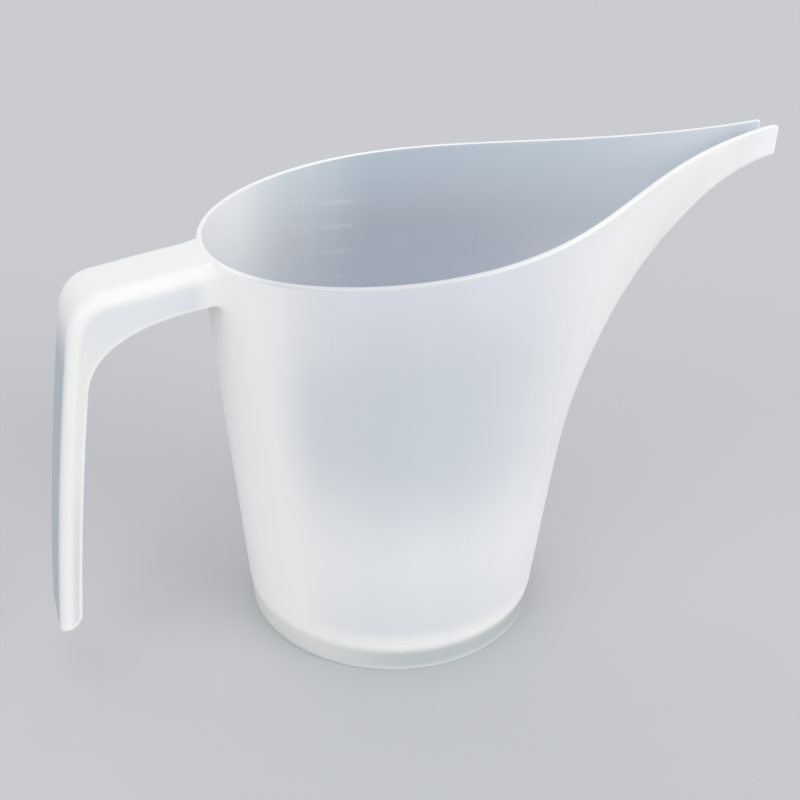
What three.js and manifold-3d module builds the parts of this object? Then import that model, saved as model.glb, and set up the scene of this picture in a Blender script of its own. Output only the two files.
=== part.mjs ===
// Long-spout measuring pitcher, one polypropylene moulding shown as its named regions.
// Millimetres, +Z up, standing on z = 0, spout towards +X and handle towards -X.
import * as THREE from 'three';
import { mergeVertices } from 'three/addons/utils/BufferGeometryUtils.js';
import Module from 'manifold-3d';

const wasm = await Module();
wasm.setup();

// Cup: a straight taper from the table up to the rim
const BASE_RADIUS = 48.5;
const TAPER = 0.092; // growth of the radius for each millimetre of height
const WALL = 1.8;
const FLOOR_THICKNESS = 2.0;

// Foot: a hollow skirt under the floor, set in a little from the wall above it
const FOOT_HEIGHT = 8.8;
const FOOT_WALL = 2.0;
const FOOT_LEDGE = 0.5;

// Rim: it lies in one plane that climbs towards the spout
const RIM_HEIGHT = 137.1; // over the cup's axis
const RIM_SLOPE = 0.127;

// Spout tip: an upright cut through a narrow trough
const TIP_REACH = 134.8; // from the cup's axis
const TIP_WIDTH = 9.4;
const TIP_DEPTH = 11.3; // from the rim down to the keel
const TIP_KEEL_ROUND = 2.4; // height of the rounded bottom of the trough

// Spout's plan: one curve for each side, from the widest place of the cup to the tip
const RIM_HANDLE_AT_CUP = 44.7;
const RIM_HANDLE_AT_TIP = 60.3;
const RIM_TIP_FLARE = 0.124; // sideways slope of the rim's line at the tip

// Spout's keel: it leaves the cone, climbs at a steady slope and flattens at the lip
const KEEL_START = 77.0; // height where the keel leaves the cone
const KEEL_BEND = 7.1; // how gently it does so
const LIP_REACH = 16.7; // part of the reach that the lip alone adds
const LIP_SHARPNESS = 22; // a higher number keeps it nearer the tip
const SIDE_SPREAD = 0.8; // under 1 it makes the spout's lower sides broader
const SPOUT_ROOT_INSET = 1.1; // the spout region begins this far inside the rim's circle

// Handle: a channel open towards the cup, with a sloping arm and a slightly bowed grip
const HANDLE_WIDTH = 25.0;
const HANDLE_SHEET = 2.0; // thickness of its back and of its two sides
const ARM_BELOW_RIM = 0.5; // from the back of the rim down to the top of the arm
const ARM_DROP = 0.17; // fall of the arm for each millimetre outwards
const ARM_DEPTH = 11.8;
const CORNER_REACH = 98.4; // outer corner, from the cup's axis
const CORNER_ROUND = 9.0;
const GRIP_LEAN = 0.185; // outward lean at the corner, for each millimetre downwards
const GRIP_BOW_RADIUS = 1160.0; // the grip bends back towards upright at this radius
const GRIP_DEPTH = 6.4;
const GRIP_END_HEIGHT = 17.5;
const GRIP_END_FLAT = 0.9; // what the rounded corner leaves flat across the grip's end
const INNER_CORNER_ROUND = 18.0;
const HANDLE_GAP = 0.3; // between the handle's root and the cup

// Scale: raised lines on the outside of the far wall, one for each 100 ml
const SCALE_STEP = 100.0; // millilitres
const SCALE_LINES = 10;
const SCALE_LINE_WIDTH = 12.0;
const SCALE_LINE_HEIGHT = 1.0;
const SCALE_RELIEF = 0.5;
const SCALE_SLICE = 0.25; // thickness of the slices that the volume is summed from

// Steps of the faceted surfaces
const BACK_STEPS = 14;
const SIDE_STEPS = 20;
const LIP_STEPS = 2;
const KEEL_STEPS = 4;
const RISE_STEPS = 16;
const RISE_CROWDING = 0.5; // 0 spaces the rows evenly, 1 crowds them at the top
const RING_STEPS = 72;
const ARC_STEPS = 6;
const GRIP_STEPS = 4;
const MARGIN = 5.0; // how far a cutter runs past what it cuts
const WELD = 1e-4; // points closer than this are one point
const CORNER_PASSES = 4; // each pass finds the handle's corner some 30 times closer

const floorTop = FOOT_HEIGHT + FLOOR_THICKNESS;
const coneRadius = (z) => BASE_RADIUS + TAPER * z;
const rimHeight = (x) => RIM_HEIGHT + RIM_SLOPE * x;
const millilitre = 1000; // cubic millimetres

const tipRimHeight = rimHeight(TIP_REACH);
const tipKeelHeight = tipRimHeight - TIP_DEPTH;

// Radius of the rim over the axis, where the cone meets the rim's plane.
const rimRadius = coneRadius(RIM_HEIGHT);
const spoutRoot = rimRadius - SPOUT_ROOT_INSET;

// Point of the rim's rounded back, at an angle from the spout's side.
function backPoint(angle) {
  const radius = rimRadius / (1 - TAPER * RIM_SLOPE * Math.cos(angle));
  const x = radius * Math.cos(angle);
  return new THREE.Vector3(x, radius * Math.sin(angle), rimHeight(x));
}

// The far half of the wall's upper edge: up the spout's cut end, then along the rim to the back.
function upperEdge() {
  const half = TIP_WIDTH / 2;
  const points = [];
  for (let i = 0; i < KEEL_STEPS; i += 1) {
    const turn = (i / KEEL_STEPS) * (Math.PI / 2);
    const z = tipKeelHeight + TIP_KEEL_ROUND * (1 - Math.cos(turn));
    points.push({ at: new THREE.Vector3(TIP_REACH, half * Math.sin(turn), z), onCut: true });
  }
  const sideStart = tipKeelHeight + TIP_KEEL_ROUND;
  for (let i = 0; i < LIP_STEPS; i += 1) {
    const z = THREE.MathUtils.lerp(sideStart, tipRimHeight, i / LIP_STEPS);
    points.push({ at: new THREE.Vector3(TIP_REACH, half, z), onCut: true });
  }
  const tipDirection = new THREE.Vector2(-1, RIM_TIP_FLARE).setLength(RIM_HANDLE_AT_TIP);
  const side = new THREE.CubicBezierCurve(
    new THREE.Vector2(TIP_REACH, half),
    new THREE.Vector2(TIP_REACH, half).add(tipDirection),
    new THREE.Vector2(RIM_HANDLE_AT_CUP, rimRadius),
    new THREE.Vector2(0, rimRadius),
  );
  side.getSpacedPoints(SIDE_STEPS).forEach((p, i) => {
    points.push({ at: new THREE.Vector3(p.x, p.y, rimHeight(p.x)), onCut: i === 0 });
  });
  for (let i = 1; i <= BACK_STEPS; i += 1) {
    points.push({ at: backPoint((Math.PI / 2) * (1 + i / BACK_STEPS)), onCut: false });
  }
  return points;
}

// Angle on the cone below each point of the upper edge. Behind the axis the two angles agree.
function footAngles(edge) {
  const travelled = [0];
  for (let i = 1; i < edge.length; i += 1) {
    travelled.push(travelled[i - 1] + edge[i].at.distanceTo(edge[i - 1].at));
  }
  const quarter = travelled[edge.length - 1 - BACK_STEPS];
  return edge.map((point, i) => {
    if (i >= edge.length - 1 - BACK_STEPS) return Math.atan2(point.at.y, point.at.x);
    return (Math.PI / 2) * (travelled[i] / quarter) ** SIDE_SPREAD;
  });
}

const edge = upperEdge();
const angles = footAngles(edge);

// Share of the tip's reach that the spout has gained, from 0 at the floor to 1 at the top.
function reachShare(rise) {
  const climb = (z) => KEEL_BEND * Math.log1p(Math.exp((z - KEEL_START) / KEEL_BEND));
  const z = THREE.MathUtils.lerp(floorTop, tipKeelHeight, rise);
  const lip = LIP_REACH / (TIP_REACH - coneRadius(tipKeelHeight));
  return (1 - lip) * (climb(z) / climb(tipKeelHeight)) + lip * rise ** LIP_SHARPNESS;
}

// Point of the outer face below edge point i, at a rise from 0 at the floor to 1 at the edge.
function outerPoint(i, rise) {
  const top = edge[i].at;
  const angle = angles[i];
  const z = THREE.MathUtils.lerp(floorTop, top.z, rise);
  const share = reachShare(rise);
  const topRadius = coneRadius(top.z);
  const radius = coneRadius(z);
  const x = radius * Math.cos(angle) + share * (top.x - topRadius * Math.cos(angle));
  const y = radius * Math.sin(angle) + share * (top.y - topRadius * Math.sin(angle));
  return new THREE.Vector3(x, y, z);
}

// Rises of the rows, closer together where the spout turns out.
function riseOf(row) {
  const even = row / RISE_STEPS;
  return even * (1 + RISE_CROWDING * (1 - even));
}

// Outer face as columns of points, round the whole cup from the keel by way of the far side.
function outerColumns() {
  const far = edge.map((point, i) => ({
    onCut: point.onCut,
    points: Array.from({ length: RISE_STEPS + 1 }, (_, row) => outerPoint(i, riseOf(row))),
  }));
  const near = far.slice(1, -1).reverse().map((column) => ({
    onCut: column.onCut,
    points: column.points.map((p) => new THREE.Vector3(p.x, -p.y, p.z)),
  }));
  return [...far, ...near];
}

// Inner face: each point goes in by the wall along the outer face's normal there.
function innerColumns(outer) {
  const count = outer.length;
  return outer.map((column, i) => {
    const points = column.points.map((p, row) => {
      const before = outer[(i + count - 1) % count].points[row];
      const after = outer[(i + 1) % count].points[row];
      const below = column.points[Math.max(row - 1, 0)];
      const above = column.points[Math.min(row + 1, RISE_STEPS)];
      const along = new THREE.Vector3().subVectors(after, before);
      const up = new THREE.Vector3().subVectors(above, below);
      const inward = new THREE.Vector3().crossVectors(up, along).setLength(WALL);
      const inner = inward.add(p);
      if (row === 0) inner.z = p.z;
      if (row === RISE_STEPS && column.onCut) inner.x = TIP_REACH;
      if (row === RISE_STEPS && p.z === rimHeight(p.x)) inner.z = rimHeight(inner.x);
      return inner;
    });
    return { points };
  });
}

// Closed shell between the outer and inner faces, with the rim, the spout's end and a flat bottom.
function wallGeometry() {
  const outer = outerColumns();
  const inner = innerColumns(outer);
  const count = outer.length;
  const rows = RISE_STEPS + 1;
  const positions = [...outer, ...inner].flatMap((c) => c.points.flatMap((p) => [p.x, p.y, p.z]));
  const outerAt = (i, row) => (i % count) * rows + row;
  const innerAt = (i, row) => (count + (i % count)) * rows + row;
  const index = [];
  const quad = (a, b, c, d) => index.push(a, b, c, a, c, d);
  for (let i = 0; i < count; i += 1) {
    for (let row = 0; row < RISE_STEPS; row += 1) {
      quad(outerAt(i, row), outerAt(i + 1, row), outerAt(i + 1, row + 1), outerAt(i, row + 1));
      quad(innerAt(i + 1, row), innerAt(i, row), innerAt(i, row + 1), innerAt(i + 1, row + 1));
    }
    const top = RISE_STEPS;
    quad(outerAt(i, top), outerAt(i + 1, top), innerAt(i + 1, top), innerAt(i, top));
    quad(outerAt(i + 1, 0), outerAt(i, 0), innerAt(i, 0), innerAt(i + 1, 0));
  }
  const geometry = new THREE.BufferGeometry();
  geometry.setAttribute('position', new THREE.Float32BufferAttribute(positions, 3));
  geometry.setIndex(index);
  return geometry;
}

function solidFrom(geometry) {
  const bare = geometry.clone();
  bare.deleteAttribute('normal');
  bare.deleteAttribute('uv');
  const merged = mergeVertices(bare, WELD);
  const vertProperties = new Float32Array(merged.attributes.position.array);
  const triVerts = new Uint32Array(merged.index.array);
  return new wasm.Manifold(new wasm.Mesh({ numProp: 3, vertProperties, triVerts }));
}

function geometryFrom(solid) {
  const mesh = solid.getMesh();
  const geometry = new THREE.BufferGeometry();
  geometry.setAttribute('position', new THREE.BufferAttribute(mesh.vertProperties, 3));
  geometry.setIndex(new THREE.BufferAttribute(mesh.triVerts, 1));
  return geometry;
}

// Everything in front of the spout's root plane.
function frontBlock() {
  const length = TIP_REACH - spoutRoot + MARGIN;
  const width = 2 * rimRadius + 2 * MARGIN;
  const height = tipRimHeight + MARGIN;
  const block = new THREE.BoxGeometry(length, width, height);
  return solidFrom(block.translate(spoutRoot + length / 2, 0, height / 2));
}

// Inner plan area of the cup at a height below the rim's back.
function innerArea(z) {
  const ring = edge.map((point, i) => outerPoint(i, (z - floorTop) / (point.at.z - floorTop)));
  let area = 0;
  let girth = 0;
  for (let i = 1; i < ring.length; i += 1) {
    area += ring[i - 1].x * ring[i].y - ring[i].x * ring[i - 1].y;
    girth += 2 * ring[i].distanceTo(ring[i - 1]);
  }
  return area - girth * WALL;
}

// Height that each of the scale's volumes fills the cup to.
function scaleHeights() {
  const heights = [];
  const highest = rimHeight(-rimRadius) - MARGIN;
  let volume = 0;
  for (let z = floorTop; z < highest && heights.length < SCALE_LINES; z += SCALE_SLICE) {
    volume += innerArea(z + SCALE_SLICE / 2) * SCALE_SLICE;
    const wanted = (heights.length + 1) * SCALE_STEP * millilitre;
    if (volume >= wanted) heights.push(z + SCALE_SLICE);
  }
  return heights;
}

// One raised line of the scale, rooted in the far wall.
function scaleLine(height) {
  const middle = Math.PI / 2;
  const spread = SCALE_LINE_WIDTH / 2 / coneRadius(height);
  const outer = coneRadius(height) + SCALE_RELIEF;
  const inner = coneRadius(height) - WALL / 2;
  const outline = new THREE.Shape();
  outline.absarc(0, 0, outer, middle - spread, middle + spread, false);
  outline.absarc(0, 0, inner, middle + spread, middle - spread, true);
  const options = { depth: SCALE_LINE_HEIGHT, bevelEnabled: false, curveSegments: ARC_STEPS };
  const line = new THREE.ExtrudeGeometry(outline, options);
  return solidFrom(line.translate(0, 0, height - SCALE_LINE_HEIGHT / 2));
}

const wallSolid = solidFrom(wallGeometry());
const front = frontBlock();

function cupWall() {
  return geometryFrom(scaleHeights().reduce(
    (wall, height) => wall.add(scaleLine(height)),
    wallSolid.subtract(front),
  ));
}

function pouringSpout() {
  return geometryFrom(wallSolid.intersect(front));
}

function turned(outline) {
  const points = outline.map(([radius, z]) => new THREE.Vector2(radius, z));
  return new THREE.LatheGeometry(points, RING_STEPS).rotateX(Math.PI / 2);
}

function cupFloor() {
  return turned([
    [0, FOOT_HEIGHT],
    [coneRadius(FOOT_HEIGHT), FOOT_HEIGHT],
    [coneRadius(floorTop), floorTop],
    [0, floorTop],
  ]);
}

function footRing() {
  const topRadius = coneRadius(FOOT_HEIGHT) - FOOT_LEDGE;
  return turned([
    [BASE_RADIUS, 0],
    [topRadius, FOOT_HEIGHT],
    [topRadius - FOOT_WALL, FOOT_HEIGHT],
    [BASE_RADIUS - FOOT_WALL, 0],
    [BASE_RADIUS, 0],
  ]);
}

// Outline of points [x, z, radius], with an arc in place of each corner that has a radius.
function roundedOutline(corners) {
  const points = [];
  corners.forEach(([x, z, radius], i) => {
    const corner = new THREE.Vector2(x, z);
    if (!radius) {
      points.push(corner);
      return;
    }
    const toward = (other) => new THREE.Vector2(other[0], other[1]).sub(corner).normalize();
    const back = toward(corners[i - 1]);
    const ahead = toward(corners[i + 1]);
    const half = Math.acos(back.dot(ahead)) / 2;
    const bisector = back.clone().add(ahead).setLength(radius / Math.sin(half));
    const centre = corner.clone().add(bisector);
    const start = corner.clone().addScaledVector(back, radius / Math.tan(half)).sub(centre);
    const end = corner.clone().addScaledVector(ahead, radius / Math.tan(half)).sub(centre);
    const sweep = Math.PI - 2 * half;
    for (let k = 0; k <= ARC_STEPS; k += 1) {
      const part = (k / ARC_STEPS) * sweep;
      const from = Math.sin(sweep - part) / Math.sin(sweep);
      const to = Math.sin(part) / Math.sin(sweep);
      const spoke = start.clone().multiplyScalar(from).addScaledVector(end, to);
      points.push(spoke.add(centre));
    }
  });
  return points;
}

// Where the top of the handle's arm leaves the cup.
const armTop = backPoint(Math.PI).z - ARM_BELOW_RIM;
const armRoot = -coneRadius(armTop);
const gripEndRound = GRIP_DEPTH - GRIP_END_FLAT;

// Height of the arm's top line moved down square to itself, at a given x.
function armLine(x, depth) {
  return armTop - ARM_DROP * (armRoot - x) - depth * Math.hypot(1, ARM_DROP);
}

// The grip's outer line moved in square to itself, at a given height.
function gripLine(z, depth) {
  const fall = armLine(-CORNER_REACH, 0) - z;
  const bow = fall ** 2 / (2 * GRIP_BOW_RADIUS);
  return -CORNER_REACH - GRIP_LEAN * fall + bow + depth * Math.hypot(1, GRIP_LEAN);
}

// Corner where the arm's line and the grip's line meet, each at its own depth.
function handleCorner(armDepth, gripDepth) {
  let x = -CORNER_REACH;
  for (let i = 0; i < CORNER_PASSES; i += 1) x = gripLine(armLine(x, armDepth), gripDepth);
  return [x, armLine(x, armDepth)];
}

// Points down the grip at a depth, from below the corner to the end.
function gripPoints(armDepth, gripDepth) {
  const [, top] = handleCorner(armDepth, gripDepth);
  return Array.from({ length: GRIP_STEPS }, (_, i) => {
    const z = THREE.MathUtils.lerp(top, GRIP_END_HEIGHT, (i + 1) / GRIP_STEPS);
    return [gripLine(z, gripDepth), z];
  });
}

// Handle's outline in the x-z plane, between its back and a line at the given depths.
function handleOutline(armDepth, gripDepth, innerRound, endRound) {
  const buried = armRoot + MARGIN;
  const inner = gripPoints(armDepth, gripDepth).reverse();
  inner[0].push(endRound);
  return roundedOutline([
    [buried, armLine(buried, 0)],
    [...handleCorner(0, 0), CORNER_ROUND],
    ...gripPoints(0, 0),
    ...inner,
    [...handleCorner(armDepth, gripDepth), innerRound],
    [buried, armLine(buried, armDepth)],
  ]);
}

// Cone that keeps the handle's root clear of the cup by the gap.
function cupClearance() {
  const top = rimHeight(0);
  const radius = (z) => (coneRadius(z) + HANDLE_GAP) / Math.cos(Math.PI / RING_STEPS);
  return solidFrom(turned([[0, 0], [radius(0), 0], [radius(top), top], [0, top]]));
}

// A plate of the handle between two y values, cut to the cup.
function handlePlate(outline, fromY, toY) {
  const options = { depth: toY - fromY, bevelEnabled: false };
  const plate = new THREE.ExtrudeGeometry(new THREE.Shape(outline), options);
  plate.rotateX(Math.PI / 2).translate(0, toY, 0);
  return geometryFrom(solidFrom(plate).subtract(cupClearance()));
}

const sideY = HANDLE_WIDTH / 2;
const webY = sideY - HANDLE_SHEET;

function handleWeb() {
  const inner = CORNER_ROUND - HANDLE_SHEET;
  return handlePlate(handleOutline(HANDLE_SHEET, HANDLE_SHEET, inner, 0), -webY, webY);
}

function handleFlange(fromY, toY) {
  const outline = handleOutline(ARM_DEPTH, GRIP_DEPTH, INNER_CORNER_ROUND, gripEndRound);
  return handlePlate(outline, fromY, toY);
}

// Frosted natural polypropylene
function frosted(color, roughness) {
  return new THREE.MeshStandardMaterial({ color, roughness, metalness: 0 });
}

function named(name, geometry, material) {
  const mesh = new THREE.Mesh(geometry, material);
  mesh.name = name;
  return mesh;
}

const group = new THREE.Group();
group.add(
  named('cup_wall', cupWall(), frosted(0xdbe1e8, 0.42)),
  named('pouring_spout', pouringSpout(), frosted(0xe6eaee, 0.4)),
  named('cup_floor', cupFloor(), frosted(0xd8dee4, 0.45)),
  named('foot_ring', footRing(), frosted(0xc8d4d8, 0.45)),
  named('handle_web', handleWeb(), frosted(0xe9edf0, 0.4)),
  named('handle_flange_near', handleFlange(-sideY, -webY), frosted(0xe2e7ec, 0.4)),
  named('handle_flange_far', handleFlange(webY, sideY), frosted(0xe2e7ec, 0.4)),
);

// The origin lies on the table, midway between the spout's tip and the grip's end.
group.position.x = -(TIP_REACH + gripLine(GRIP_END_HEIGHT, 0)) / 2;

export default group;
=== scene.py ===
"""Long-spout measuring pitcher in frosted polypropylene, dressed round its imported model.

Metres, +Z up, spout towards +X, handle towards -X, volume scale on the +Y side.
"""

import math

import bmesh
import bpy
import numpy as np
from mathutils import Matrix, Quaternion, Vector


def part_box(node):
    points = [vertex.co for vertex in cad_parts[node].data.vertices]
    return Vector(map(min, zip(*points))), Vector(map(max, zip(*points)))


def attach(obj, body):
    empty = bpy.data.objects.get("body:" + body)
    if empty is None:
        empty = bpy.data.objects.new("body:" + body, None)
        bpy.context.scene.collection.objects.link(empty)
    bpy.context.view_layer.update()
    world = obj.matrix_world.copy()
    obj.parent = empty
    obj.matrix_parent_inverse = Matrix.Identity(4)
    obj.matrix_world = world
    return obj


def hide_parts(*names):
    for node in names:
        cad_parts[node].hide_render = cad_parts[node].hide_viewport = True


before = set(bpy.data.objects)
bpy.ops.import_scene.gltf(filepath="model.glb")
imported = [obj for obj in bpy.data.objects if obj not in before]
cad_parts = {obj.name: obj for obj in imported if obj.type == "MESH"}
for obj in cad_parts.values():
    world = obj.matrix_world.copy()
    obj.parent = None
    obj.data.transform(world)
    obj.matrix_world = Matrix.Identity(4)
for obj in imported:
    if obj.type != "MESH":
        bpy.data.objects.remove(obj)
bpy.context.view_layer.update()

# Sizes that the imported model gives
FOOT_LOW, FOOT_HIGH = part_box("foot_ring")
SPOUT_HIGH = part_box("pouring_spout")[1]
AXIS_X = (FOOT_LOW.x + FOOT_HIGH.x) / 2  # of the cup's axis
FOOT_HEIGHT = FOOT_HIGH.z
FLOOR_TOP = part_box("cup_floor")[1].z
RIM_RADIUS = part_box("cup_wall")[1].y  # over the cup's axis
TIP_REACH = SPOUT_HIGH.x - AXIS_X  # from the cup's axis, as every x below
TIP_RIM_HEIGHT = SPOUT_HIGH.z
HANDLE_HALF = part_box("handle_flange_far")[1].y
GRIP_END_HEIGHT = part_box("handle_web")[0].z

# Cup
TAPER = 0.092  # growth of the radius for each metre of height
WALL = 0.0018
RIM_SLOPE = 0.127
RIM_HEIGHT = TIP_RIM_HEIGHT - RIM_SLOPE * TIP_REACH  # over the axis
BASE_RADIUS = RIM_RADIUS - TAPER * RIM_HEIGHT
FOOT_WALL = 0.002
FOOT_LEDGE = 0.0003
FLOOR_MIDDLE = 0.6  # share of the radius at which the floor's faces are parted

# Soft edges of the moulding
RIM_ROUND_OUT = 0.0009
RIM_ROUND_IN = 0.0007
TIP_CORNER = 0.0016
FLOOR_FILLET = 0.0035
FOOT_EDGE = 0.0005
FOOT_FILLET = 0.0012
LEDGE_SOFTNESS = 0.0011  # half the height over which the foot swells to the wall
LEDGE_ROUND = 0.004
LEAST_SQUARENESS = 0.12  # squared, of the wall to the rim, where the tip's corner leans most

# Spout
TIP_WIDTH = 0.0094
TIP_DEPTH = 0.0113
TIP_KEEL_ROUND = 0.0024
TIP_KEEL_HEIGHT = TIP_RIM_HEIGHT - TIP_DEPTH
RIM_HANDLE_AT_CUP = 0.0447
RIM_HANDLE_AT_TIP = 0.0603
RIM_TIP_FLARE = 0.124
KEEL_START = 0.077
KEEL_BEND = 0.0071
LIP_REACH = 0.0167
LIP_SHARPNESS = 22
SIDE_SPREAD = 0.8
LIP_BAND = 0.0035  # last stretch of the spout, which opens out a little
LIP_FLARE = 0.0009
LIP_FLARE_WAYS = (0, 1, 0.5)  # its shares along the spout, across it and upwards
CREASE_EASE = 0.006  # how far to each side the ridge below the tip's corner is eased
CREASE_FADE = 0.05  # rise below the rim over which the easing sets in
CREASE_LEAN = 0.7  # how much heights count in the distance from that ridge
CREASE_PASSES = 110
KEEL_FULLNESS = 0.0006  # by which the spout's keel swells at the foot of its bend
FULLEST_RISE = 0.735
FULLNESS_SPREAD = 0.045
FULL_COLUMNS = 44  # to each side of the keel, before the swelling fades
FADING_COLUMNS = 28

# Handle
HANDLE_SHEET = 0.002
ARM_OVER_RIM = 0.00002  # the arm's top runs this much over the rim's crown, where it ends
ARM_DROP = 0.17
ARM_DEPTH = 0.0118
CORNER_REACH = 0.0984
CORNER_LEGS = (0.0086, 0.0095)  # of the outer corner, along the arm and down the grip
INNER_CORNER_LEGS = (0.0265, 0.0155)
GRIP_LEAN = 0.185
GRIP_BOW_RADIUS = 1.16
GRIP_DEPTH = 0.0064
GRIP_END_ROUND = 0.0055
HANDLE_FULLNESS = 0.0008  # soft sides stand this much wider than the sharp-edged model's
BACK_EDGE_ROUND = 0.0038
CHANNEL_FILLET = 0.0014
ROOT_FILLET_OUT = 0.004
ROOT_FILLET_IN = 0.0012
ROOT_FILLET_LOW = 0.003  # at the flanges' lower edges
ROOT_FILLET_FADE = 0.006  # stretch of a flange over which its fillet comes down to that
ROOT_DIVE = 6  # how steeply the fillet's foot slides under the wall's face
ROOT_CROWN = 0.0009  # from the wall's outer face to the middle of the rim's crown
ROOT_SHADED = 0.0002  # stretch beside the wall that is shaded as the wall is
WRAP_KEPT = 0.004  # distance from the wall over which the handle follows the cone's roundness
WRAP_FADE = 0.008
FLUSH_FROM = 0.7  # how far a face looks up, before it is drawn level with the rim
FLUSH_OVER = 0.25
FLUSH_REACH = 0.005
LEAST_UPWARD = 0.02  # that counts, so that a face that looks sideways has room enough
GRIP_END_EDGE = 0.0008
THINNEST_FLANGE = 0.0002  # at the grip's end, where the flanges have run out

# Volume scale
SCALE_STEP = 1e-4  # 100 ml in cubic metres
SCALE_LINES = 10
SCALE_SLICE = 0.00025
SCALE_LINE_WIDTH = 0.012
SCALE_RELIEF = 0.0005
NUMERAL_HEIGHT = 0.0052
NUMERAL_RELIEF = 0.0004
NUMERAL_GAP = 0.0022  # between a line and its numeral
NUMERAL_BEVEL = 0.2  # share of a numeral's thickness
CAPITAL_SHARE = 0.7  # height of a numeral for a text size of 1
MERGED_WITHIN = 1e-7
LINE_STEPS = 25  # points along a raised line
LINE_SIDES = 12
LINE_BLUNTNESS = 8  # power that keeps a line full until near its ends
LINE_END = 0.12  # thickness that is left at a line's ends
SEEN_LIFT = 0.0012  # how much higher the scale seems, seen through the wall from within
SEEN_DEPTH = 0.00002  # by which a numeral's ghost stands off the inner face
SEEN_SHARE = 0.4  # how strongly the scale shows within

# Steps of the surfaces
PLAN_STEPS = 2000  # of the rim's curve, before its columns are shared out
KEEL_STEPS = 24
LIP_STEPS = 12
CORNER_STEPS = 5
SIDE_STEPS = 88
BACK_STEPS = 44
RISE_STEPS = 72
RISE_CROWDING = 0.5
ARC_STEPS = 8
TURN_STEPS = 60  # of the handle's corner, before its rows are shared out
GRIP_STEPS = 400
CHANNEL_BACK_STEPS = 5

# Camera, as calibrated from the photograph
CAMERA_PLACE = Vector((-0.1287, -0.2787, 0.2260))
CAMERA_AIM = Vector((-0.0083, 0.0012, 0.0707))
CAMERA_ROLL = math.radians(1.62)
CAMERA_LENS = 46.58  # millimetres, on the sensor's width
CAMERA_SENSOR = 36.0
CAMERA_NEAREST = 0.01


def cone_radius(z):
    return BASE_RADIUS + TAPER * z


def rim_height(x):
    return RIM_HEIGHT + RIM_SLOPE * x


def unit(vectors):
    return vectors / np.linalg.norm(vectors, axis=-1, keepdims=True)


def smooth_step(value):
    t = np.clip(value, 0, 1)
    return t * t * (3 - 2 * t)


def bend(start, corner, end, steps):
    """Points of a quadratic curve from start to end, drawn towards corner."""
    t = np.linspace(0, 1, steps + 1)[:, None]
    return (1 - t) ** 2 * start + 2 * t * (1 - t) * corner + t**2 * end


def rounded(corners, steps=ARC_STEPS):
    """Outline through (a, b, radius) corners, with an arc at each that has a radius."""
    points = []
    for i, (a, b, radius) in enumerate(corners):
        corner = np.array((a, b))
        if not radius:
            points.append(corner)
            continue
        back = unit(np.array(corners[i - 1][:2]) - corner)
        ahead = unit(np.array(corners[i + 1][:2]) - corner)
        points.extend(corner_arc(corner, back, ahead, radius, steps))
    return np.array(points)


def corner_arc(corner, back, ahead, radius, steps):
    """Points of the arc that rounds a corner between two directions away from it."""
    half = math.acos(np.dot(back, ahead)) / 2
    centre = corner + unit(back + ahead) * radius / math.sin(half)
    start = corner + back * radius / math.tan(half) - centre
    end = corner + ahead * radius / math.tan(half) - centre
    sweep = math.pi - 2 * half
    part = np.linspace(0, sweep, steps + 1)[:, None]
    return centre + (start * np.sin(sweep - part) + end * np.sin(part)) / math.sin(sweep)


def rim_plan():
    """Far side of the rim in plan, from the tip to the cup's widest place, closely stepped."""
    start = np.array((TIP_REACH, TIP_WIDTH / 2))
    tip_direction = unit(np.array((-1.0, RIM_TIP_FLARE)))
    handles = (
        start,
        start + tip_direction * RIM_HANDLE_AT_TIP,
        np.array((RIM_HANDLE_AT_CUP, RIM_RADIUS)),
        np.array((0.0, RIM_RADIUS)),
    )
    t = np.linspace(0, 1, PLAN_STEPS)[:, None]
    weights = ((1 - t) ** 3, 3 * t * (1 - t) ** 2, 3 * t**2 * (1 - t), t**3)
    return sum(weight * handle for weight, handle in zip(weights, handles))


def evenly(points, count, first_x):
    """count points at even spacing along a plan curve, from where it passes first_x."""
    travelled = np.insert(np.cumsum(np.linalg.norm(np.diff(points, axis=0), axis=1)), 0, 0)
    begin = np.interp(-first_x, -points[:, 0], travelled)
    wanted = np.linspace(begin, travelled[-1], count)
    return np.stack([np.interp(wanted, travelled, points[:, k]) for k in (0, 1)], axis=1)


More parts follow.
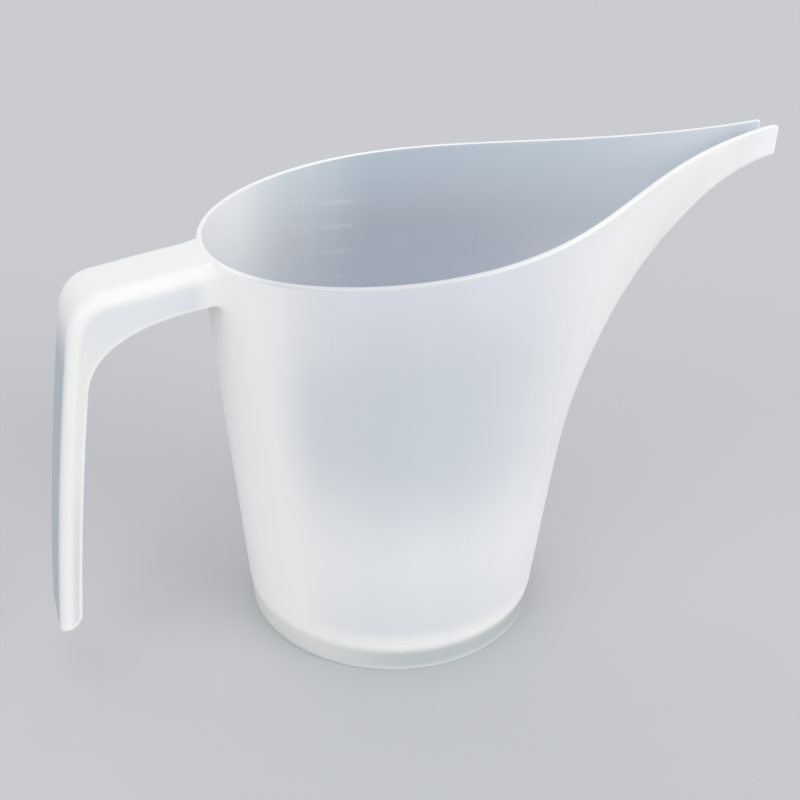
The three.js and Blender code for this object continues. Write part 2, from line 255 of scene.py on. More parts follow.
def upper_edge():
    """Far half of the wall's upper edge, from the keel to the back, and which way it faces."""
    half = TIP_WIDTH / 2
    turn = np.linspace(0, math.pi / 2, KEEL_STEPS, endpoint=False)
    keel_top = TIP_KEEL_HEIGHT + TIP_KEEL_ROUND
    side = np.linspace(keel_top, TIP_RIM_HEIGHT - TIP_CORNER, LIP_STEPS, endpoint=False)
    cut_y = np.concatenate((half * np.sin(turn), np.full(LIP_STEPS, half)))
    cut_z = np.concatenate((TIP_KEEL_HEIGHT + TIP_KEEL_ROUND * (1 - np.cos(turn)), side))
    cut = np.stack((np.full(len(cut_y), TIP_REACH), cut_y, cut_z), axis=1)

    plan = rim_plan()
    corner_x = TIP_REACH - TIP_CORNER
    corner = bend(
        np.array((TIP_REACH, TIP_RIM_HEIGHT - TIP_CORNER)),
        np.array((TIP_REACH, TIP_RIM_HEIGHT)),
        np.array((corner_x, rim_height(corner_x))),
        CORNER_STEPS,
    )[:-1]
    corner_y = np.interp(-corner[:, 0], -plan[:, 0], plan[:, 1])
    corner = np.stack((corner[:, 0], corner_y, corner[:, 1]), axis=1)

    side = evenly(plan, SIDE_STEPS, corner_x)
    side = np.column_stack((side, rim_height(side[:, 0])))

    angle = math.pi / 2 * (1 + np.arange(1, BACK_STEPS + 1) / BACK_STEPS)
    radius = RIM_RADIUS / (1 - TAPER * RIM_SLOPE * np.cos(angle))
    back_x = radius * np.cos(angle)
    back = np.stack((back_x, radius * np.sin(angle), rim_height(back_x)), axis=1)

    tops = np.concatenate((cut, corner, side, back))
    share = np.concatenate((
        np.zeros(len(cut)),
        np.linspace(0, 1, CORNER_STEPS, endpoint=False),
        np.ones(SIDE_STEPS + BACK_STEPS),
    ))[:, None]
    rim_faces = unit(np.array((-RIM_SLOPE, 0.0, 1.0)))
    facing = unit((1 - share) * np.array((1.0, 0.0, 0.0)) + share * rim_faces)
    return tops, facing


def cone_angles(tops):
    """Angle on the cone below each point of the edge. Behind the axis the two angles agree."""
    travelled = np.insert(np.cumsum(np.linalg.norm(np.diff(tops, axis=0), axis=1)), 0, 0)
    quarter = travelled[len(tops) - 1 - BACK_STEPS]
    front = math.pi / 2 * np.minimum(travelled / quarter, 1) ** SIDE_SPREAD
    behind = np.arctan2(tops[:, 1], tops[:, 0])
    return np.where(travelled >= quarter, behind, front)


def both_sides(far, mirror):
    """The far half's columns, followed by their mirror images from the back to the keel."""
    return np.concatenate((far, far[1:-1][::-1] * mirror))


far_tops, far_facing = upper_edge()
TOPS = both_sides(far_tops, np.array((1, -1, 1)))
FACING = both_sides(far_facing, np.array((1, -1, 1)))
ANGLES = both_sides(cone_angles(far_tops), -1)


def reach_share(rise):
    """Share of the tip's reach that the spout has gained, from 0 at the floor to 1 at the top."""
    def climb(z):
        return KEEL_BEND * np.log1p(np.exp((z - KEEL_START) / KEEL_BEND))

    z = FLOOR_TOP + (TIP_KEEL_HEIGHT - FLOOR_TOP) * rise
    lip = LIP_REACH / (TIP_REACH - cone_radius(TIP_KEEL_HEIGHT))
    return (1 - lip) * climb(z) / climb(TIP_KEEL_HEIGHT) + lip * rise**LIP_SHARPNESS


def on_cone(radius, z, angles):
    return np.stack((radius * np.cos(angles), radius * np.sin(angles), z + 0 * angles), axis=-1)


def outer_face(rises, tops=TOPS, angles=ANGLES):
    """Points of the outer face: a row of rises, from 0 at the floor to 1, for each column."""
    angles = angles[:, None]
    z = FLOOR_TOP + (tops[:, None, 2] - FLOOR_TOP) * rises
    cone = on_cone(cone_radius(z), z, angles)
    cone_top = on_cone(cone_radius(tops[:, None, 2]), tops[:, None, 2], angles)
    gained = tops[:, None, :] - cone_top
    return cone + reach_share(rises)[..., None] * gained


def eased(face, rises):
    """The outer face with the ridge eased that the tip's corner leaves down the spout's side."""
    corner = KEEL_STEPS + LIP_STEPS + CORNER_STEPS // 2
    places = TOPS * (1, 1, CREASE_LEAN)
    aside = np.minimum(
        np.linalg.norm(places - places[corner], axis=1),
        np.linalg.norm(places - places[-corner], axis=1),
    )
    across = np.exp(-((aside / CREASE_EASE) ** 2))[:, None]
    share = (across * smooth_step((1 - rises) / CREASE_FADE) / 2)[..., None]
    for _ in range(CREASE_PASSES):
        middle = (np.roll(face, 1, axis=0) + np.roll(face, -1, axis=0)) / 2
        face = face + share * (middle - face)
    return face


def filled(face, rises):
    """The outer face with the spout's keel a little fuller at the foot of its bend."""
    columns = np.arange(len(TOPS))
    aside = np.minimum(columns, len(TOPS) - columns)
    near_keel = 1 - smooth_step((aside - FULL_COLUMNS) / FADING_COLUMNS)
    fullness = near_keel[:, None] * np.exp(-(((rises - FULLEST_RISE) / FULLNESS_SPREAD) ** 2))
    return face - KEEL_FULLNESS * fullness[..., None] * inward(face)


def inward(face):
    """Unit normals into the wall at the points of an outer face."""
    up = np.gradient(face, axis=1)
    along = np.roll(face, -1, axis=0) - np.roll(face, 1, axis=0)
    return unit(np.cross(up, along))


def opened(points, inwards):
    """Points of the spout, with the flare of its lip."""
    gone = smooth_step((points[..., 0] - (TIP_REACH - LIP_BAND)) / (2 * LIP_BAND)) * 2
    return points - (LIP_FLARE * gone)[..., None] * inwards * LIP_FLARE_WAYS


def crowded(first, last, count):
    """Rises between two values for each column, closer together towards the top."""
    even = np.linspace(0, 1, count)
    even = even * (1 + RISE_CROWDING * (1 - even))
    return first[:, None] + (last - first)[:, None] * even


def rim_steepness():
    """How far a point of the wall moves for a whole rise, and how squarely it meets the edge."""
    small = 1e-4
    top = np.ones((len(TOPS), 1))
    climb = (outer_face(top) - outer_face(top - small))[:, 0] / small
    speed = np.linalg.norm(climb, axis=1)
    along = unit(np.roll(TOPS, -1, axis=0) - np.roll(TOPS, 1, axis=0))
    cosine = np.sum(climb / speed[:, None] * along, axis=1)
    return speed, np.sqrt(np.clip(1 - cosine**2, LEAST_SQUARENESS, 1))


def rim_rows(low_out, low_in, normal):
    """Rounded rim between the last points of the outer and inner faces."""
    across = normal - np.sum(normal * FACING, axis=1, keepdims=True) * FACING
    top_in = TOPS + WALL * across
    across = unit(across)
    outside = [bend(a, b, b + RIM_ROUND_OUT * c, ARC_STEPS)[1:]
               for a, b, c in zip(low_out, TOPS, across)]
    inside = [bend(b - RIM_ROUND_IN * c, b, a, ARC_STEPS)[:-1]
              for a, b, c in zip(low_in, top_in, across)]
    return np.concatenate((outside, inside), axis=1)


def turned(profile):
    """A row for each point (radius, z) of a round profile, in every column."""
    rows = [on_cone(radius, z, ANGLES) for radius, z in profile]
    return np.stack(rows, axis=1)


def foot_profile():
    """Underside of the floor, the hollow foot and the ledge above it, from the middle outwards."""
    foot_top = cone_radius(FOOT_HEIGHT) - FOOT_LEDGE
    lean = (foot_top - BASE_RADIUS) / FOOT_HEIGHT
    above = FOOT_HEIGHT + LEDGE_SOFTNESS
    return rounded([
        (FOOT_FILLET, FOOT_HEIGHT, 0),
        (foot_top - FOOT_WALL, FOOT_HEIGHT, FOOT_FILLET),
        (BASE_RADIUS - FOOT_WALL, 0, FOOT_EDGE),
        (BASE_RADIUS, 0, FOOT_EDGE),
        (foot_top - LEDGE_SOFTNESS * lean, FOOT_HEIGHT - LEDGE_SOFTNESS, LEDGE_ROUND),
        (cone_radius(above), above, LEDGE_ROUND),
        (cone_radius(FLOOR_TOP), FLOOR_TOP, 0),
    ])


def floor_profile():
    """Cup's floor and the fillet round it, from the wall to the middle."""
    inside = cone_radius(FLOOR_TOP) - WALL * math.hypot(1, TAPER)
    above = FLOOR_TOP + 2 * FLOOR_FILLET
    return rounded([
        (cone_radius(above) - WALL * math.hypot(1, TAPER), above, 0),
        (inside, FLOOR_TOP, FLOOR_FILLET),
        (inside * FLOOR_MIDDLE, FLOOR_TOP, 0),
        (FLOOR_FILLET, FLOOR_TOP, 0),
    ])


def mesh_piece(name, points, faces, marks=None):
    """A smooth mesh object, from points whose x counts from the cup's axis."""
    mesh = bpy.data.meshes.new(name)
    placed = np.asarray(points) + np.array((AXIS_X, 0, 0))
    mesh.from_pydata(placed.tolist(), [], faces)
    mesh.polygons.foreach_set("use_smooth", [True] * len(mesh.polygons))
    for mark, values in (marks or {}).items():
        layer = mesh.attributes.new(mark, "FLOAT", "POINT")
        layer.data.foreach_set("value", np.asarray(values, np.float32).ravel())
    mesh.update()
    piece = bpy.data.objects.new(name, mesh)
    bpy.context.scene.collection.objects.link(piece)
    return piece


def ring_faces(columns, rows):
    """Quads of a grid whose columns close on themselves."""
    i, k = np.meshgrid(np.arange(columns), np.arange(rows - 1), indexing="ij")
    after = (i + 1) % columns
    quads = np.stack((i * rows + k, after * rows + k, after * rows + k + 1, i * rows + k + 1), -1)
    return quads.reshape(-1, 4).tolist()


def moulded_body():
    """Cup, spout, floor and foot as the one closed skin that they are."""
    count = len(TOPS)
    speed, squareness = rim_steepness()
    outer_rises = crowded(np.zeros(count), 1 - RIM_ROUND_OUT / squareness / speed, RISE_STEPS)
    first_inner = 2 * FLOOR_FILLET / (TOPS[:, 2] - FLOOR_TOP)
    inner_rises = crowded(first_inner, 1 - RIM_ROUND_IN / squareness / speed, RISE_STEPS)
    outer = filled(eased(outer_face(outer_rises), outer_rises), outer_rises)
    outer_in = inward(outer)
    inner = filled(eased(outer_face(inner_rises), inner_rises), inner_rises)
    inner_in = inward(inner)
    inner = inner + WALL * inner_in
    rim = rim_rows(outer[:, -1], inner[:, -1], outer_in[:, -1])
    bands = [
        (turned(foot_profile())[:, :-1], 0, 0),
        (opened(outer, outer_in), 0, 0),
        (opened(rim, outer_in[:, -1:]), 0.5, 1),
        (opened(inner, inner_in)[:, ::-1], 1, 0),
        (turned(floor_profile())[:, 1:], 1, 0),
    ]
    grid = np.concatenate([band for band, _, _ in bands], axis=1)
    inside = np.concatenate([np.full(band.shape[:2], mark) for band, mark, _ in bands], axis=1)
    edge = np.concatenate([np.full(band.shape[:2], mark) for band, _, mark in bands], axis=1)
    rows = grid.shape[1]
    points = np.concatenate((
        grid.reshape(-1, 3), [(0, 0, FOOT_HEIGHT), (0, 0, FLOOR_TOP)],
    ))
    under, over = len(points) - 2, len(points) - 1
    faces = ring_faces(count, rows)
    for i in range(count):
        after = (i + 1) % count
        faces.append((under, after * rows, i * rows))
        faces.append((over, i * rows + rows - 1, after * rows + rows - 1))
    marks = {
        "inside": np.append(inside.ravel(), (0, 1)),
        "edge": np.append(edge.ravel(), (0, 0)),
    }
    return mesh_piece("moulded_body", points, faces, marks)


# Handle lines, in the x-z plane
ARM_TOP = rim_height(-RIM_RADIUS / (1 + TAPER * RIM_SLOPE))
ARM_ROOT = -cone_radius(ARM_TOP)


def arm_line(x, depth):
    return ARM_TOP - ARM_DROP * (ARM_ROOT - x) - depth * math.hypot(1, ARM_DROP)


def grip_line(z, depth):
    fall = arm_line(-CORNER_REACH, 0) - z
    bow = fall**2 / (2 * GRIP_BOW_RADIUS)
    return -CORNER_REACH - GRIP_LEAN * fall + bow + depth * math.hypot(1, GRIP_LEAN)


def handle_corner(arm_depth, grip_depth):
    x = -CORNER_REACH
    for _ in range(4):
        x = grip_line(arm_line(x, arm_depth), grip_depth)
    return np.array((x, arm_line(x, arm_depth)))


# How far the first rows of the handle lie in the wall
ROOT_SINK = (0.0014, 0.0011, 0.0008, 0.0005, 0.00025, 0.0001)
TO_CORNER = np.concatenate((
    (0, 0.0005, 0.0015, 0.003, 0.006, 0.012, 0.022, 0.035, 0.05, 0.07, 0.095, 0.125),
    np.linspace(0.16, 0.78, 14),
    np.linspace(0.8, 1, 14),
))
TO_END = np.concatenate((
    np.linspace(0, 0.16, 18)[1:],
    np.linspace(0.18, 0.9, 34),
    1 - 0.1 * (1 - np.linspace(0, 1, 22)[1:]) ** 1.7,
))


def at_shares(points, shares):
    """Points of a closely stepped line at shares of its length."""
    travelled = np.insert(np.cumsum(np.linalg.norm(np.diff(points, axis=0), axis=1)), 0, 0)
    wanted = np.asarray(shares) * travelled[-1]
    return np.stack([np.interp(wanted, travelled, points[:, k]) for k in (0, 1)], axis=1)


def handle_line(arm_depth, grip_depth, legs, end_round=0.0):
    """One line along the handle at the given depths, from the cup to the end of the grip."""
    corner = handle_corner(arm_depth, grip_depth)
    slope = np.array((1, ARM_DROP))
    root = np.array((ARM_ROOT, arm_line(ARM_ROOT, arm_depth)))
    for _ in range(3):
        root = root + slope * (-cone_radius(root[1]) - root[0])
    end_z = corner[1] - legs[1]
    turn_end = np.array((grip_line(end_z, grip_depth), end_z))
    turn = bend(corner + legs[0] * unit(slope), corner, turn_end, TURN_STEPS)
    z = np.linspace(end_z, GRIP_END_HEIGHT, GRIP_STEPS)[1:]
    left = np.clip(end_round - (z - GRIP_END_HEIGHT), 0, None)
    cut_away = end_round - np.sqrt(np.clip(end_round**2 - left**2, 0, None))
    depth = np.maximum(grip_depth - cut_away, min(grip_depth, HANDLE_SHEET))
    grip = np.stack((grip_line(z, depth), z), axis=1)
    sunk = root + np.outer(ROOT_SINK, slope)
    halfway = TURN_STEPS // 2
    to_corner = at_shares(np.concatenate((root[None], turn[:halfway + 1])), TO_CORNER)
    to_end = at_shares(np.concatenate((turn[halfway:], grip)), TO_END)
    return np.concatenate((sunk, to_corner, to_end))


def channel_section(depth):
    """Half of the channel's section, as (y, depth): from the middle of its back round a flange."""
    edge = HANDLE_SHEET / 2
    back_round = min(BACK_EDGE_ROUND, depth - edge)
    across = math.sqrt(BACK_EDGE_ROUND**2 - (BACK_EDGE_ROUND - back_round) ** 2)
    side = HANDLE_HALF + HANDLE_FULLNESS - BACK_EDGE_ROUND + across
    inner_edge = min(edge, (depth - HANDLE_SHEET) / 2)
    fillet = min(CHANNEL_FILLET, depth - HANDLE_SHEET - inner_edge)
    inner = side - HANDLE_SHEET
    turn = np.linspace(0, math.pi / 2, ARC_STEPS + 1)
    flat = np.linspace(0, side - across, CHANNEL_BACK_STEPS + 1)[:-1]

    def arc(y, d, across, down, start, sweep):
        return np.stack((y + across * np.cos(start + sweep * turn),
                         d + down * np.sin(start + sweep * turn)), axis=1)

    return np.concatenate((
        np.stack((flat, 0 * flat), axis=1),
        arc(side - across, back_round, across, back_round, -math.pi / 2, 1),
        arc(side - edge, depth - edge, edge, edge, 0, 1)[:-1],
        arc(inner + edge, depth - inner_edge, edge, inner_edge, math.pi / 2, 1),
        arc(inner - fillet, HANDLE_SHEET + fillet, fillet, fillet, 0, -1),
        np.stack((flat[::-1] * inner / side, 0 * flat + HANDLE_SHEET), axis=1),
    ))


def fillet_growth(distance, radius):
    """How much a fillet thickens what meets a wall, at a distance from the wall."""
    left = np.clip(radius - distance, 0, radius)
    return radius - np.sqrt(np.clip(radius**2 - left**2, 0, None))


def grid_normals(grid):
    along = np.gradient(grid, axis=0)
    around = np.roll(grid, -1, axis=1) - np.roll(grid, 1, axis=1)
    return unit(np.cross(around, along))


def flared_root(grid, normals, in_channel, from_edge):
    """The handle's grid with its fillets into the cup, wrapped round the cone where it meets it."""
    distance = -(grid[..., 0] + cone_radius(grid[..., 2]))
    rise = normals[..., 2]
    upward = np.clip(rise, 0, 1)
    below_rim = RIM_ROUND_OUT * (1 - upward)
    room = np.clip(rim_height(grid[..., 0]) - below_rim - grid[..., 2], 1e-6, None)
    low = 1 - smooth_step(from_edge / ROOT_FILLET_FADE)
    radius = np.where(in_channel, ROOT_FILLET_IN, ROOT_FILLET_OUT)
    radius = radius + low * (ROOT_FILLET_LOW - radius)
    radius = np.minimum(radius, room / np.maximum(upward, LEAST_UPWARD))
    sunk = np.clip(-distance, 0, None)
    dive = ROOT_DIVE * np.minimum(sunk, ROOT_SINK[-2]) * radius / ROOT_FILLET_OUT
    growth = fillet_growth(np.maximum(distance, 0), radius) + dive
    grid = grid + normals * growth[..., None]
    near = 1 - smooth_step((distance - WRAP_KEPT) / WRAP_FADE)
    wrapped = -np.sqrt((cone_radius(grid[..., 2]) + distance) ** 2 - grid[..., 1] ** 2)
    grid[..., 0] = near * wrapped + (1 - near) * grid[..., 0]
    past_crown = np.clip(sunk - ROOT_CROWN, 0, None)
    crown = rim_height(grid[..., 0]) + ARM_OVER_RIM - past_crown
    flush = smooth_step((upward - FLUSH_FROM) / FLUSH_OVER)
    flush = flush * (1 - smooth_step(distance / FLUSH_REACH))
    grid[..., 2] += flush * (crown - grid[..., 2])
    return grid


def rooted_normals(grid, normals, upward):
    """Normals of the handle's grid, drawn to the wall's own and the rim's where it meets them."""
    around = np.arctan2(grid[..., 1], grid[..., 0])
    wall = unit(np.stack((np.cos(around), np.sin(around), 0 * around - TAPER), axis=-1))
    rim = unit(np.array((-RIM_SLOPE, 0.0, 1.0)))
    on_rim = (1 - np.sqrt(1 - upward))[..., None]
    met = unit(on_rim * rim + (1 - on_rim) * wall)
    distance = np.linalg.norm(grid[..., :2], axis=-1) - cone_radius(grid[..., 2])
    share = (1 - smooth_step(distance / ROOT_SHADED))[..., None]
    return unit(share * met + (1 - share) * normals)


def cap_faces(ring):
    """Faces across the channel's section, each between its outer and its inner outline."""
    last = ring // 2
    quads = []
    for k in range(last // 2):
        half = (k, k + 1, last - 1 - k, last - k)
        quads.append(half)
        quads.append([-point % ring for point in half[::-1]])
    return [list(dict.fromkeys(quad)) for quad in quads]


def channel_handle():
    """Arm and grip as one open channel, flared into the cup where it is rooted."""
    outer = handle_line(0, 0, CORNER_LEGS)
    edge = handle_line(ARM_DEPTH, GRIP_DEPTH, INNER_CORNER_LEGS, GRIP_END_ROUND)
    tangent = unit(np.gradient(outer, axis=0))
    web = outer + HANDLE_SHEET * np.stack((-tangent[:, 1], tangent[:, 0]), axis=1)
    web[:, 1] = np.maximum(web[:, 1], GRIP_END_HEIGHT)
    reach = edge - web
    depths = HANDLE_SHEET + np.maximum(np.linalg.norm(reach, axis=1), THINNEST_FLANGE)
    rows = []
    sections = []
    for a, w, r, depth in zip(outer, web, reach, depths):
        half = channel_section(depth)
        section = np.concatenate((half, half[-2:0:-1] * (-1, 1)))
        shallow = np.clip(section[:, 1:] / HANDLE_SHEET, 0, 1)
        deep = np.clip((section[:, 1:] - HANDLE_SHEET) / max(depth - HANDLE_SHEET, 1e-6), 0, 1)
        flat = a + (w - a) * shallow + r * deep
        rows.append(np.stack((flat[:, 0], section[:, 0], flat[:, 1]), axis=1))
        sections.append(section)
    grid = np.array(rows)
    sections = np.array(sections)
    inner = HANDLE_HALF + HANDLE_FULLNESS - HANDLE_SHEET * 0.6
    in_channel = (sections[..., 1] > HANDLE_SHEET * 0.99) & (np.abs(sections[..., 0]) < inner)

    normals = grid_normals(grid)
    upward = np.clip(normals[..., 2], 0, 1)
    from_edge = depths[:, None] - sections[..., 1]
    grid = flared_root(grid, normals, in_channel, from_edge)
    to_end = np.maximum(grid[..., 2] - GRIP_END_HEIGHT, 0)
    grid = grid - normals * fillet_growth(to_end, GRIP_END_EDGE)[..., None]
    grid[..., 2] = np.maximum(grid[..., 2], GRIP_END_HEIGHT)

    stations, ring = grid.shape[:2]
    loop = np.transpose(grid, (1, 0, 2)).reshape(-1, 3)
    faces = ring_faces(ring, stations)
    for quad in cap_faces(ring):
        faces.append([k * stations for k in quad[::-1]])
        faces.append([k * stations + stations - 1 for k in quad])
    marks = {
        "from_back": sections[..., 1].T,
        "from_edge": from_edge.T,
    }
    piece = mesh_piece("channel_handle", loop, faces, marks)
    made = np.zeros(len(loop) * 3)
    piece.data.vertex_normals.foreach_get("vector", made)
    made = np.transpose(made.reshape(ring, stations, 3), (1, 0, 2))
    shown = np.transpose(rooted_normals(grid, made, upward), (1, 0, 2)).reshape(-1, 3)
    piece.data.normals_split_custom_set_from_vertices(shown.tolist())
    return piece


def scale_heights():
    """Height that each of the scale's volumes fills the cup to."""
    far = len(far_tops)
    tops, angles = TOPS[:far], ANGLES[:far]
    heights = []
    volume = 0.0
    z = FLOOR_TOP
    while len(heights) < SCALE_LINES:
        rises = ((z + SCALE_SLICE / 2 - FLOOR_TOP) / (tops[:, 2] - FLOOR_TOP))[:, None]
        ring = outer_face(rises, tops, angles)[:, 0]
        crossed = ring[:-1, 0] * ring[1:, 1] - ring[1:, 0] * ring[:-1, 1]
        girth = 2 * np.linalg.norm(np.diff(ring, axis=0), axis=1).sum()
        volume += (crossed.sum() - girth * WALL) * SCALE_SLICE
        z += SCALE_SLICE
        if volume >= (len(heights) + 1) * SCALE_STEP:
            heights.append(z)
    return heights


def new_tree(name):
    tree = bpy.data.node_groups.new(name, "GeometryNodeTree")
    tree.interface.new_socket("Geometry", in_out="INPUT", socket_type="NodeSocketGeometry")
    tree.interface.new_socket("Geometry", in_out="OUTPUT", socket_type="NodeSocketGeometry")
    return tree


class Wire:
    """A node's output, so that what nodes work out reads as an expression."""

    def __init__(self, tree, socket):
        self.tree = tree
        self.socket = socket

    def make(self, kind, settings=None, values=None, output=0):
        """A new node in this tree: its settings first, then its sockets' values or links."""
        node = self.tree.nodes.new(kind)
        for name, setting in (settings or {}).items():
            setattr(node, name, setting)
        for name, value in (values or {}).items():
            if isinstance(value, Wire):
                self.tree.links.new(value.socket, node.inputs[name])
            else:
                node.inputs[name].default_value = value
        return Wire(self.tree, node.outputs[output])

    def maths(self, operation, *others):
        """A Math node of this tree's kind on this value and others."""
        return self.make("ShaderNodeMath", {"operation": operation},
                         dict(enumerate((self, *others))))

    def __add__(self, other):
        return self.maths("ADD", other)

    def __sub__(self, other):
        return self.maths("SUBTRACT", other)

    def __mul__(self, other):
        return self.maths("MULTIPLY", other)

    def __truediv__(self, other):
        return self.maths("DIVIDE", other)

    def __rsub__(self, other):
        return self.make("ShaderNodeMath", {"operation": "SUBTRACT"}, {0: other, 1: self})

    __radd__ = __add__
    __rmul__ = __mul__

    def ramp(self, begin, full):
        """0 before begin, 1 past full and smooth between them, whichever of the two is greater."""
        return self.make("ShaderNodeMapRange", {"interpolation_type": "SMOOTHSTEP"},
                         {"Value": self, "From Min": begin, "From Max": full})


def mixed(factor, first, second):
    """first where factor is 0, second where it is 1."""
    return factor.make("ShaderNodeMix", {"data_type": "RGBA"},
                       {0: factor, 6: first, 7: second}, output=2)


def apart(vector):
    """The three parts of a vector."""
    parts = vector.tree.nodes.new("ShaderNodeSeparateXYZ")
    vector.tree.links.new(vector.socket, parts.inputs[0])
    return [Wire(vector.tree, parts.outputs[k]) for k in range(3)]


def attribute(place, name):
    return place.make("ShaderNodeAttribute", {"attribute_name": name}, output=2)


def raised_lines(heights, material):
    """A bead for each volume, laid round the outside of the far wall."""
    tree = new_tree("raised lines")
    for name in ("Width", "Relief", "Taper", "Base radius", "Axis"):
        tree.interface.new_socket(name, in_out="INPUT", socket_type="NodeSocketFloat")
    entry = tree.nodes.new("NodeGroupInput")
    marks = Wire(tree, entry.outputs["Geometry"])
    width, relief, taper, base, axis = (
        Wire(tree, entry.outputs[name])
        for name in ("Width", "Relief", "Taper", "Base radius", "Axis")
    )

    half = width / 2
    spine = marks.make("GeometryNodeCurvePrimitiveLine", None, {
        "Start": half.make("ShaderNodeCombineXYZ", None, {"X": half * -1}),
        "End": half.make("ShaderNodeCombineXYZ", None, {"X": half}),
    })
    spine = spine.make("GeometryNodeResampleCurve", None, {"Curve": spine, "Count": LINE_STEPS})
    along = spine.make("GeometryNodeSplineParameter") * 2 - 1
    blunt = (1 - along.maths("POWER", LINE_BLUNTNESS)).maths("SQRT").maths("MAXIMUM", LINE_END)
    spine = spine.make("GeometryNodeSetCurveRadius", None, {"Curve": spine, "Radius": blunt})
    ring = spine.make("GeometryNodeCurvePrimitiveCircle", None,
                      {"Resolution": LINE_SIDES, "Radius": relief})
    bead = spine.make("GeometryNodeCurveToMesh", None, {
        "Curve": spine, "Profile Curve": ring, "Scale": blunt, "Fill Caps": True,
    })
    beads = bead.make("GeometryNodeInstanceOnPoints", None, {"Points": marks, "Instance": bead})
    beads = beads.make("GeometryNodeRealizeInstances", None, {"Geometry": beads})

    x, y, z = apart(beads.make("GeometryNodeInputPosition"))
    radius = base + taper * z
    turn = x / radius
    out = radius + y
    bent = out.make("ShaderNodeCombineXYZ", None, {
        "X": turn.maths("SINE") * out + axis, "Y": turn.maths("COSINE") * out, "Z": z,
    })
    laid = beads.make("GeometryNodeSetPosition", None, {"Geometry": beads, "Position": bent})
    laid = laid.make("GeometryNodeSetShadeSmooth", None, {"Geometry": laid})
    laid = laid.make("GeometryNodeSetMaterial", None, {"Geometry": laid, "Material": material})
    leave = tree.nodes.new("NodeGroupOutput")
    tree.links.new(laid.socket, leave.inputs["Geometry"])

    points = mesh_piece("scale_points", [(-AXIS_X, 0, z) for z in heights], [])
    sizes = {"Width": SCALE_LINE_WIDTH, "Relief": SCALE_RELIEF, "Taper": TAPER,
             "Base radius": BASE_RADIUS, "Axis": AXIS_X}
    modifier = points.modifiers.new("lines", "NODES")
    modifier.node_group = tree
    for item in tree.interface.items_tree:
        if item.in_out == "INPUT" and item.name in sizes:
            modifier[item.identifier] = sizes[item.name]
    return all_in(material, made_plain(points, "scale_lines"))


def made_plain(source, name):
    """A plain mesh object of what an object's modifiers or text give, in the object's stead."""
    seen = source.evaluated_get(bpy.context.evaluated_depsgraph_get())
    mesh = bpy.data.meshes.new_from_object(seen)
    mesh.name = name
    bpy.data.objects.remove(source)
    piece = bpy.data.objects.new(name, mesh)
    bpy.context.scene.collection.objects.link(piece)
    return piece


def all_in(material, piece):
    """The piece with this material on all its faces and no other slot."""
    piece.data.materials.clear()
    piece.data.materials.append(material)
    return piece


def flat_numeral(amount, thickness):
    """The plain number for one volume as a mesh, in the x-y plane and to the right of its line."""
    text = bpy.data.curves.new("numeral", "FONT")
    text.body = str(amount)
    text.size = NUMERAL_HEIGHT / CAPITAL_SHARE
    text.align_x = "LEFT"
    text.align_y = "CENTER"
    text.extrude = thickness * (1 - NUMERAL_BEVEL)
    text.bevel_depth = thickness * NUMERAL_BEVEL
    text.bevel_resolution = 1
    text.resolution_u = 6
    source = bpy.data.objects.new("numeral", text)
    bpy.context.scene.collection.objects.link(source)
    piece = made_plain(source, "numeral_%d" % amount)
    shape = bmesh.new()
    shape.from_mesh(piece.data)
    bmesh.ops.remove_doubles(shape, verts=shape.verts, dist=MERGED_WITHIN)
    shape.to_mesh(piece.data)
    shape.free()
    return piece


def wrapped_numeral(amount, height, radius_at, thickness, material):
    """A number wrapped on the far wall, beside its line, at the radius given for each height."""
    piece = flat_numeral(amount, thickness)
    mesh = piece.data
    flat = np.zeros(len(mesh.vertices) * 3)
    mesh.vertices.foreach_get("co", flat)
    flat = flat.reshape(-1, 3)
    z = height + flat[:, 1]
    turn = (SCALE_LINE_WIDTH / 2 + NUMERAL_GAP + flat[:, 0]) / cone_radius(z)
    out = radius_at(z) + flat[:, 2]
    wrapped = np.stack((AXIS_X - out * np.sin(turn), out * np.cos(turn), z), axis=1)
    mesh.vertices.foreach_set("co", wrapped.ravel())
    mesh.update()
    return all_in(material, piece)


def joined(pieces, name):
    """One object of several plain meshes."""
    with bpy.context.temp_override(active_object=pieces[0], selected_editable_objects=pieces):
        bpy.ops.object.join()
    pieces[0].name = name
    pieces[0].data.name = name
    return pieces[0]


def inner_radius(z):
    return cone_radius(z) - WALL * math.hypot(1, TAPER)


def raised_numerals(heights, material):
    """The scale's numbers, standing on the outside of the far wall."""
    return joined([
        wrapped_numeral(100 * count, height, cone_radius, NUMERAL_RELIEF, material)
        for count, height in enumerate(heights, 1)
    ], "scale_numerals")


def seen_numerals(heights, material):
    """The numbers as they show through the far wall, a paler film on its inner face that paints the
    light they scatter through it.
    """
    return joined([
        wrapped_numeral(100 * count, height + SEEN_LIFT, inner_radius, SEEN_DEPTH, material)
        for count, height in enumerate(heights, 1)
    ], "seen_numerals")


def linear(red, green, blue):
    """A colour as it looks on screen, out of 255, as the light it stands for."""
    def channel(value):
        share = value / 255
        return share / 12.92 if share <= 0.04045 else ((share + 0.055) / 1.055) ** 2.4

    return (channel(red), channel(green), channel(blue), 1.0)
